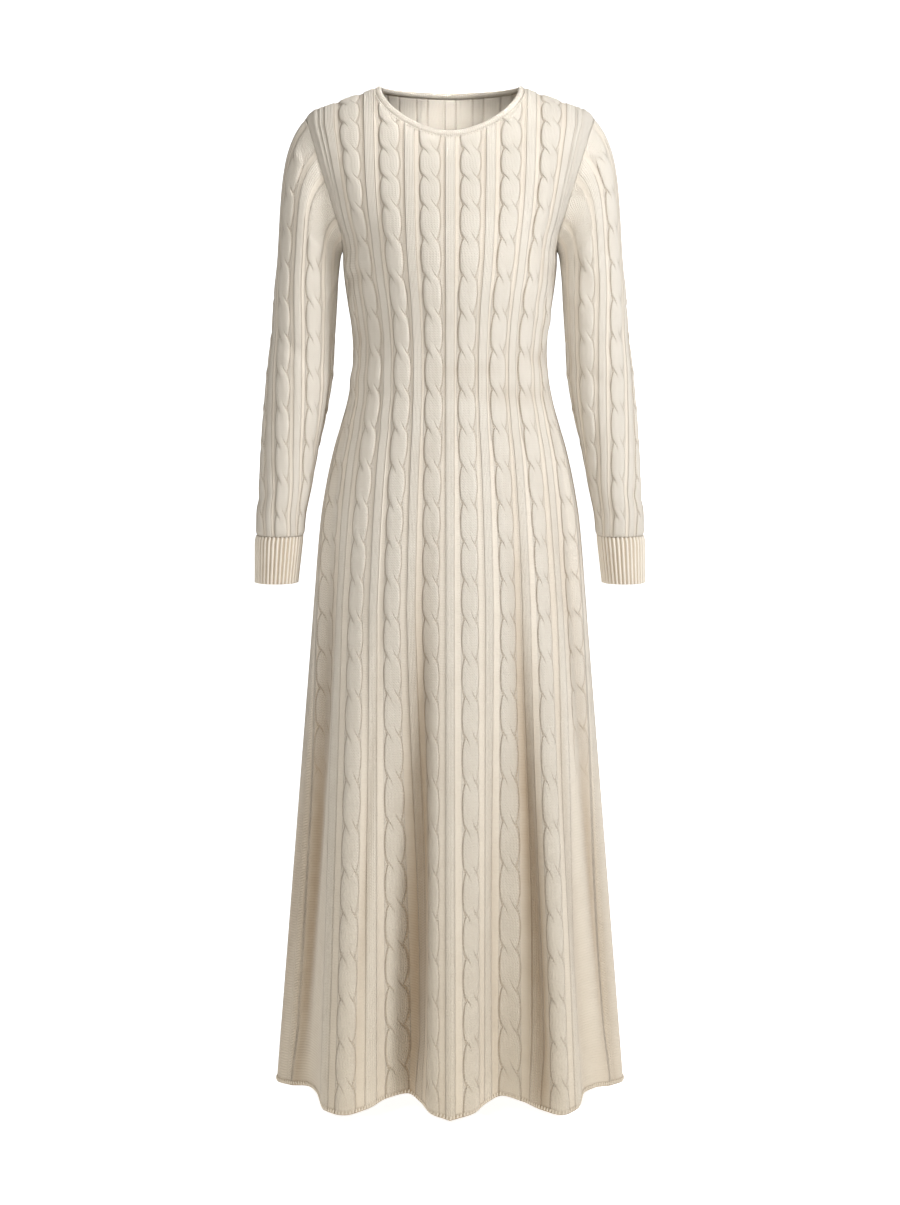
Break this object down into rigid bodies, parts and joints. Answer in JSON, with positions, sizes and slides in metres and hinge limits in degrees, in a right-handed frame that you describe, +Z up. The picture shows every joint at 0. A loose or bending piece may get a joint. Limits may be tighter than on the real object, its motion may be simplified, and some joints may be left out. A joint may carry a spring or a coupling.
{
  "type": "sweater dress",
  "caption": "Long cable-knit sweater dress, fitted to the hip with a flared skirt in soft folds, set-in long sleeves with ribbed cuffs and a round neck, held as if worn.",
  "frame": {"origin": "on the shoulder line, midway between the two points where the neck meets the shoulders", "axes": "+X to the wearer's left as seen from the front, -Y to the front, +Z up"},
  "size_m": [0.5042, 0.3188, 1.3043],
  "materials": {
    "knit": "matte cream cable knit, soft wool-like yarn",
    "cuff_knit": "matte cream ribbed knit"
  },
  "bodies": {
    "root": {"front": "knit", "back": "knit", "sleeve_right": "knit", "sleeve_left": "knit", "cuff_right": "cuff_knit", "cuff_left": "cuff_knit", "neckband": "knit"}
  },
  "joints": []
}
